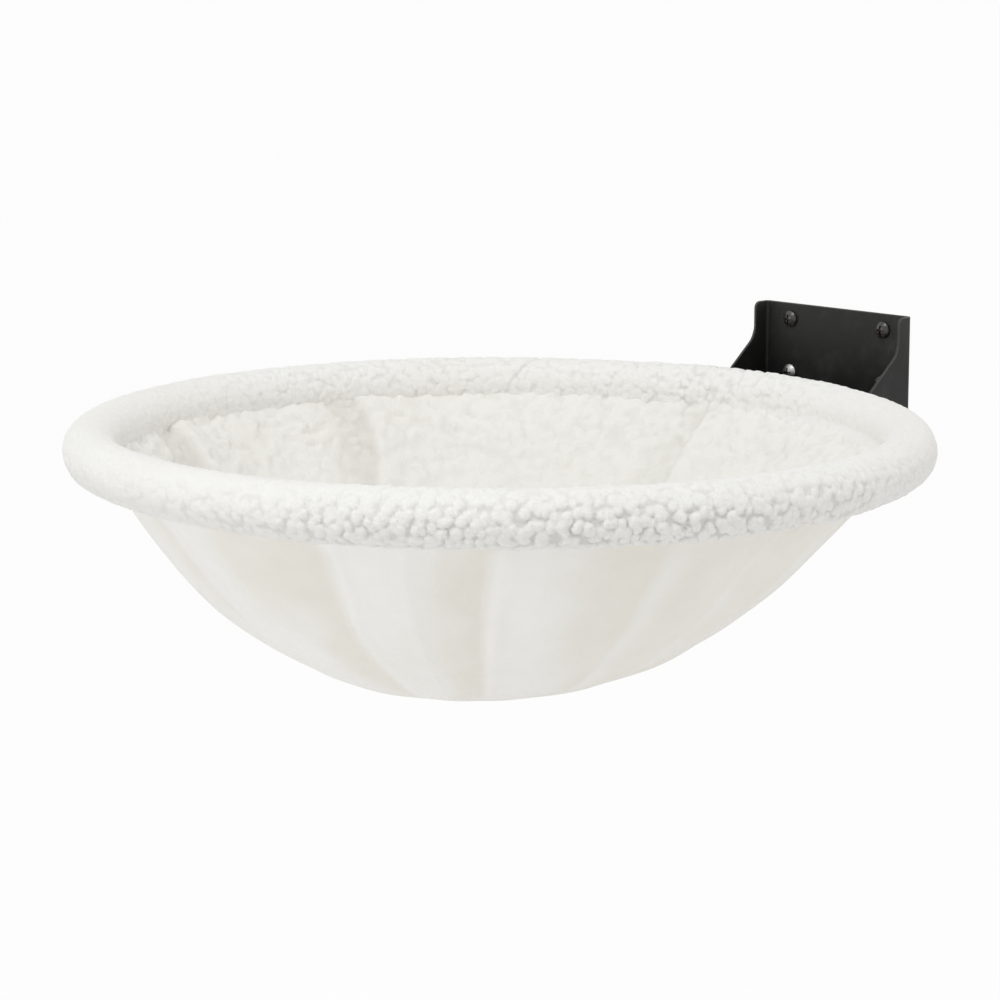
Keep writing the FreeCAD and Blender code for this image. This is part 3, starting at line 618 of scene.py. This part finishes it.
# Node materials. Lengths inside them are in metres.
class Paint:
    """A node material with short ways to add and join its nodes."""

    def __init__(self, name):
        self.material = bpy.data.materials.new(name)
        self.material.use_nodes = True
        self.tree = self.material.node_tree
        self.shader = self.tree.nodes["Principled BSDF"]
        self.place = self.add("ShaderNodeTexCoord").outputs["Object"]

    def add(self, kind, **settings):
        node = self.tree.nodes.new(kind)
        for key, value in settings.items():
            setattr(node, key, value)
        return node

    def join(self, start, end):
        self.tree.links.new(start, end)

    def feed(self, socket, source):
        self.join(source, self.shader.inputs[socket])

    def set(self, **values):
        for key, value in values.items():
            self.shader.inputs[key.replace("_", " ")].default_value = value

    def noise(self, scale, detail=2.0, roughness=0.5, stretch=None, twist=0.0):
        node = self.add("ShaderNodeTexNoise")
        node.inputs["Scale"].default_value = scale
        node.inputs["Detail"].default_value = detail
        node.inputs["Roughness"].default_value = roughness
        node.inputs["Distortion"].default_value = twist
        place = self.place
        if stretch is not None:
            mapping = self.add("ShaderNodeMapping")
            mapping.inputs["Scale"].default_value = stretch
            self.join(self.place, mapping.inputs["Vector"])
            place = mapping.outputs["Vector"]
        self.join(place, node.inputs["Vector"])
        return node.outputs["Fac"]

    def ramp(self, source, span, result=(0.0, 1.0)):
        """The source's span, stretched to the result."""
        node = self.add("ShaderNodeMapRange")
        for key, value in zip(("From Min", "From Max", "To Min", "To Max"), (*span, *result)):
            node.inputs[key].default_value = value
        self.join(source, node.inputs["Value"])
        return node.outputs["Result"]

    def blend(self, share, first, second, kind="MIX"):
        node = self.add("ShaderNodeMix", data_type="RGBA", blend_type=kind)
        self.join(share, node.inputs[0])
        for socket, value in ((node.inputs[6], first), (node.inputs[7], second)):
            if isinstance(value, tuple):
                socket.default_value = (*value, 1)
            else:
                self.join(value, socket)
        return node.outputs[2]

    def bump(self, height, distance, strength, below=None):
        node = self.add("ShaderNodeBump")
        node.inputs["Distance"].default_value = distance
        node.inputs["Strength"].default_value = strength
        self.join(height, node.inputs["Height"])
        if below is not None:
            self.join(below, node.inputs["Normal"])
        return node.outputs["Normal"]

    def height(self):
        parts = self.add("ShaderNodeSeparateXYZ")
        self.join(self.place, parts.inputs["Vector"])
        return parts.outputs["Z"]

    def worn_and_highlit_edges(self, radius):
        """Near one along sharp edges and zero on flat faces."""
        bevel = self.add("ShaderNodeBevel", samples=6)
        bevel.inputs["Radius"].default_value = radius
        geometry = self.add("ShaderNodeNewGeometry")
        turned = self.add("ShaderNodeVectorMath", operation="DOT_PRODUCT")
        self.join(bevel.outputs["Normal"], turned.inputs[0])
        self.join(geometry.outputs["Normal"], turned.inputs[1])
        return self.ramp(turned.outputs["Value"], (0.995, 0.88), (0.0, 0.9))

    def shaded_hollows(self, reach):
        """Near zero deep in a recess and one on open faces."""
        node = self.add("ShaderNodeAmbientOcclusion", samples=8)
        node.inputs["Distance"].default_value = reach
        return self.ramp(node.outputs["AO"], (0.3, 0.85))

    def attribute(self, name):
        return self.add("ShaderNodeAttribute", attribute_name=name).outputs["Fac"]


FIBRE_SCALE = 1700
PLUSH_BRUSH_TINT = (0.975, 0.97, 0.955)
GRIME_AND_SHADE = (0.01, 0.01, 0.01)


def fleece_material(name, crest, crease_shade, cream, curl_scale, curl_depth):
    """Curly pile, with painted shade that makes it darker and creamier between the tufts."""
    paint = Paint(name)
    painted_light_and_shade = paint.ramp(paint.attribute("painted_light_and_shade"), (0.05, 0.75))
    painted_shading = paint.blend(painted_light_and_shade, crease_shade, crest)
    mottle = paint.ramp(paint.noise(scale=16, detail=3), (0.42, 0.72), (0.0, 0.5))
    paint.feed("Base Color", paint.blend(mottle, painted_shading, cream, "MULTIPLY"))
    curl = paint.noise(scale=curl_scale, detail=3, roughness=0.55, twist=1.6)
    curls = paint.bump(curl, distance=curl_depth, strength=0.6)
    fibre = paint.noise(scale=FIBRE_SCALE, detail=3, roughness=0.6)
    paint.feed("Normal", paint.bump(fibre, distance=0.0004, strength=0.5, below=curls))
    paint.set(Roughness=0.95, Specular_IOR_Level=0.12, Sheen_Weight=0.18, Sheen_Roughness=0.55)
    return paint.material


def plush_material(name, light, dark):
    """Smooth pile with painted light and shade on the flanks of its swells."""
    paint = Paint(name)
    painted_shading = paint.blend(paint.attribute("painted_light_and_shade"), dark, light)
    brush = paint.ramp(paint.noise(scale=70, detail=4, roughness=0.6), (0.35, 0.7), (0.0, 0.6))
    paint.feed("Base Color", paint.blend(brush, painted_shading, PLUSH_BRUSH_TINT, "MULTIPLY"))
    strokes = paint.noise(scale=190, detail=3, roughness=0.55)
    brushed = paint.bump(strokes, distance=0.0007, strength=0.4)
    fibre = paint.noise(scale=FIBRE_SCALE, detail=2, roughness=0.6)
    paint.feed("Normal", paint.bump(fibre, distance=0.0003, strength=0.5, below=brushed))
    paint.set(Roughness=0.92, Specular_IOR_Level=0.15, Sheen_Weight=0.2, Sheen_Roughness=0.45)
    return paint.material


def powder_coat(name, base, lit_top_colour, wear_dust_and_highlight, grain):
    """Satin black coat with worn edges that are also painted as highlights, painted light that makes
    the upper half lighter, dust specks, and orange peel.
    """
    paint = Paint(name)
    # Worn edges, also painted as pale edge highlights.
    edge = paint.worn_and_highlit_edges(radius=0.0008)
    # Painted light: the coat turns lighter towards the top.
    painted_top_light = paint.ramp(paint.height(), (-0.012, 0.024))
    dust = paint.ramp(paint.noise(scale=38, detail=4, roughness=0.65), (0.5, 0.8), (0.0, 0.08))
    coat = paint.blend(painted_top_light, base, lit_top_colour)
    paint.feed("Base Color", paint.blend(edge, paint.blend(dust, coat, wear_dust_and_highlight), wear_dust_and_highlight))
    cloud = paint.noise(scale=26, detail=4, roughness=0.6)
    paint.feed("Roughness", paint.ramp(cloud, (0.3, 0.7), (0.36, 0.52)))
    peel = paint.noise(scale=grain, detail=2, roughness=0.5)
    paint.feed("Normal", paint.bump(peel, distance=0.00012, strength=0.35))
    paint.set(Specular_IOR_Level=0.22)
    return paint.material


def plated_metal(name, bright, dull, rough, metallic, gloss):
    """Plated steel with cloudy patches, fine scratches, and grime with painted shade in its recesses.
    """
    paint = Paint(name)
    cloud = paint.noise(scale=240, detail=4, roughness=0.6)
    colour = paint.blend(paint.ramp(cloud, (0.35, 0.7)), bright, dull)
    # Grime and painted shade: the colour darkens deep in recesses.
    open_face = paint.shaded_hollows(reach=0.0016)
    paint.feed("Base Color", paint.blend(open_face, GRIME_AND_SHADE, colour))
    spread = paint.noise(scale=700, detail=3, roughness=0.6)
    paint.feed("Roughness", paint.ramp(spread, (0.3, 0.7), (rough - 0.06, rough + 0.1)))
    scratch = paint.noise(scale=900, detail=2, roughness=0.5, stretch=(1, 6, 1))
    paint.feed("Normal", paint.bump(scratch, distance=0.00004, strength=0.4))
    paint.set(Metallic=metallic, Specular_IOR_Level=gloss)
    return paint.material


RIM_PAINT = fleece_material(
    "rim_sherpa", crest=(0.90, 0.894, 0.875), crease_shade=(0.78, 0.772, 0.75),
    cream=(0.985, 0.975, 0.955), curl_scale=520, curl_depth=0.0011)
LINER_PAINT = fleece_material(
    "liner_sherpa", crest=(0.89, 0.88, 0.85), crease_shade=(0.77, 0.755, 0.71),
    cream=(0.985, 0.97, 0.94), curl_scale=560, curl_depth=0.0009)
SHELL_PAINT = plush_material(
    "shell_plush", light=(0.922, 0.914, 0.896), dark=(0.865, 0.837, 0.778))
BRACKET_PAINT = powder_coat(
    "bracket_powder_coat", base=(0.0112, 0.0112, 0.0108), lit_top_colour=(0.0215, 0.0212, 0.02),
    wear_dust_and_highlight=(0.27, 0.264, 0.252), grain=2300)
FRAME_PAINT = powder_coat(
    "frame_powder_coat", base=(0.020, 0.020, 0.021), lit_top_colour=(0.025, 0.025, 0.0255),
    wear_dust_and_highlight=(0.07, 0.07, 0.072), grain=2600)
OXIDE_PAINT = plated_metal(
    "black_oxide", bright=(0.046, 0.035, 0.027), dull=(0.010, 0.010, 0.010),
    rough=0.26, metallic=0.1, gloss=0.75)
ZINC_PAINT = plated_metal(
    "bright_zinc", bright=(0.47, 0.462, 0.45), dull=(0.36, 0.353, 0.343),
    rough=0.38, metallic=1.0, gloss=0.5)


def dress(thing, paint):
    thing.data.materials.clear()
    thing.data.materials.append(paint)


def paint_node(node, paint):
    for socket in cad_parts[node].material_slots:
        socket.material = paint


rim = make_rim()
dress(rim, RIM_PAINT)
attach(rim, "bed")
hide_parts("rim_sleeve")

liner = make_liner()
dress(liner, LINER_PAINT)
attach(liner, "bed")
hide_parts("bowl_liner")

shell = make_shell()
dress(shell, SHELL_PAINT)
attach(shell, "bed")
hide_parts("bowl_shell")

# Screw places: side across the plate and side up or down from its middle.
for thread_name, thread_places, thread_paint, thread_slot in (
        ("black_screw_threads", ((-1, 1), (1, 1), (1, -1)), OXIDE_PAINT, "screw_black"),
        ("zinc_screw_threads", ((-1, -1),), ZINC_PAINT, "zinc")):
    threads = make_threads(thread_name, thread_places)
    dress(threads, thread_paint)
    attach(threads, "bracket")

for paint, nodes in (
        (BRACKET_PAINT, ("wall_bracket",)),
        (OXIDE_PAINT, ("upper_wall_screws", "lower_right_screw")),
        (FRAME_PAINT, ("hoop", "hoop_tongue", "tongue_welds")),
        (ZINC_PAINT, ("lower_left_screw", "tongue_bolts", "bolt_washers", "nut_washers", "lock_nuts"))):
    for node in nodes:
        paint_node(node, paint)

# Camera at the photograph's angle.
CAMERA_DISTANCE = 1.799
CAMERA_AZIMUTH = math.radians(45)
CAMERA_HEIGHT = math.radians(9.6)
CAMERA_PITCH = math.radians(10.58)
CAMERA_LENS = 121.4
CAMERA_SENSOR = 36
CAMERA_REACH = 200


def towards(azimuth, height):
    level = math.cos(height)
    return Vector((math.sin(azimuth) * level, -math.cos(azimuth) * level, math.sin(height)))


camera = bpy.data.objects.new("camera", bpy.data.cameras.new("camera"))
bpy.context.scene.collection.objects.link(camera)
camera.location = Vector(HOOP_CENTRE) + towards(CAMERA_AZIMUTH, CAMERA_HEIGHT) * CAMERA_DISTANCE
camera.rotation_euler = (-towards(CAMERA_AZIMUTH, CAMERA_PITCH)).to_track_quat("-Z", "Y").to_euler()
camera.data.sensor_width = CAMERA_SENSOR
camera.data.lens = CAMERA_LENS
camera.data.clip_end = CAMERA_REACH
bpy.context.scene.camera = camera

# Soft studio: a pale sky, large soft lamps and a pale floor that keeps the shadow.
SKY_COLOUR = (1.0, 0.988, 0.965, 1)
SKY_STRENGTH = 0.72
WHITE = (1, 1, 1, 1)
LAMP_COLOUR = (0.95, 0.98, 1.0)
LAMP_DISTANCE = 2.6
FLOOR_LEVEL = -0.75
FLOOR_REACH = 30.0
FLOOR_COLOUR = (0.9, 0.9, 0.9, 1)
FLOOR_ROUGHNESS = 0.9
FLOOR_WHITE_SHARE = 0.93


def seen_directly(tree):
    """One where a ray comes from the camera, a reflection or glass, and zero for other light."""
    path = tree.nodes.new("ShaderNodeLightPath")
    either = path.outputs["Is Camera Ray"]
    for key in ("Is Glossy Ray", "Is Transmission Ray"):
        highest = tree.nodes.new("ShaderNodeMath")
        highest.operation = "MAXIMUM"
        tree.links.new(either, highest.inputs[0])
        tree.links.new(path.outputs[key], highest.inputs[1])
        either = highest.outputs[0]
    return either


def mix_shaders(tree, share, first, second, output):
    choose = tree.nodes.new("ShaderNodeMixShader")
    tree.links.new(share, choose.inputs[0])
    tree.links.new(first.outputs[0], choose.inputs[1])
    tree.links.new(second.outputs[0], choose.inputs[2])
    tree.links.new(choose.outputs[0], tree.nodes[output].inputs["Surface"])


world = bpy.data.worlds.new("studio")
bpy.context.scene.world = world
world.use_nodes = True
sky = world.node_tree
light = sky.nodes["Background"]
light.inputs["Color"].default_value = SKY_COLOUR
light.inputs["Strength"].default_value = SKY_STRENGTH
white = sky.nodes.new("ShaderNodeBackground")
white.inputs["Color"].default_value = WHITE
white.inputs["Strength"].default_value = 1
mix_shaders(sky, seen_directly(sky), light, white, "World Output")


def soft_lamp(name, azimuth, height, across, power):
    """A round lamp that faces the hoop; angles in degrees, width in metres, power in watts."""
    lamp = bpy.data.objects.new(name, bpy.data.lights.new(name, "AREA"))
    bpy.context.scene.collection.objects.link(lamp)
    way = towards(math.radians(azimuth), math.radians(height))
    lamp.location = Vector(HOOP_CENTRE) + way * LAMP_DISTANCE
    lamp.rotation_euler = (-way).to_track_quat("-Z", "Y").to_euler()
    lamp.data.shape = "DISK"
    lamp.data.size = across
    lamp.data.energy = power
    lamp.data.color = LAMP_COLOUR


soft_lamp("key_lamp", azimuth=15, height=62, across=1.3, power=22)
soft_lamp("left_lamp", azimuth=-15, height=3, across=1.0, power=7)
soft_lamp("right_lamp", azimuth=120, height=15, across=1.2, power=5.5)

floor_mesh = bpy.data.meshes.new("floor")
floor_corners = [(x * FLOOR_REACH, y * FLOOR_REACH, FLOOR_LEVEL)
                 for x, y in ((-1, -1), (1, -1), (1, 1), (-1, 1))]
floor_mesh.from_pydata(floor_corners, [], [(0, 1, 2, 3)])
floor = bpy.data.objects.new("floor", floor_mesh)
bpy.context.scene.collection.objects.link(floor)
floor_paint = bpy.data.materials.new("floor")
floor_paint.use_nodes = True
tree = floor_paint.node_tree
matt = tree.nodes["Principled BSDF"]
matt.inputs["Base Color"].default_value = FLOOR_COLOUR
matt.inputs["Roughness"].default_value = FLOOR_ROUGHNESS
glow = tree.nodes.new("ShaderNodeEmission")
glow.inputs["Strength"].default_value = 1
share = tree.nodes.new("ShaderNodeMath")
share.operation = "MULTIPLY"
share.inputs[1].default_value = FLOOR_WHITE_SHARE
tree.links.new(seen_directly(tree), share.inputs[0])
mix_shaders(tree, share.outputs[0], matt, glow, "Material Output")
floor_mesh.materials.append(floor_paint)

bpy.context.scene.view_settings.view_transform = "Standard"
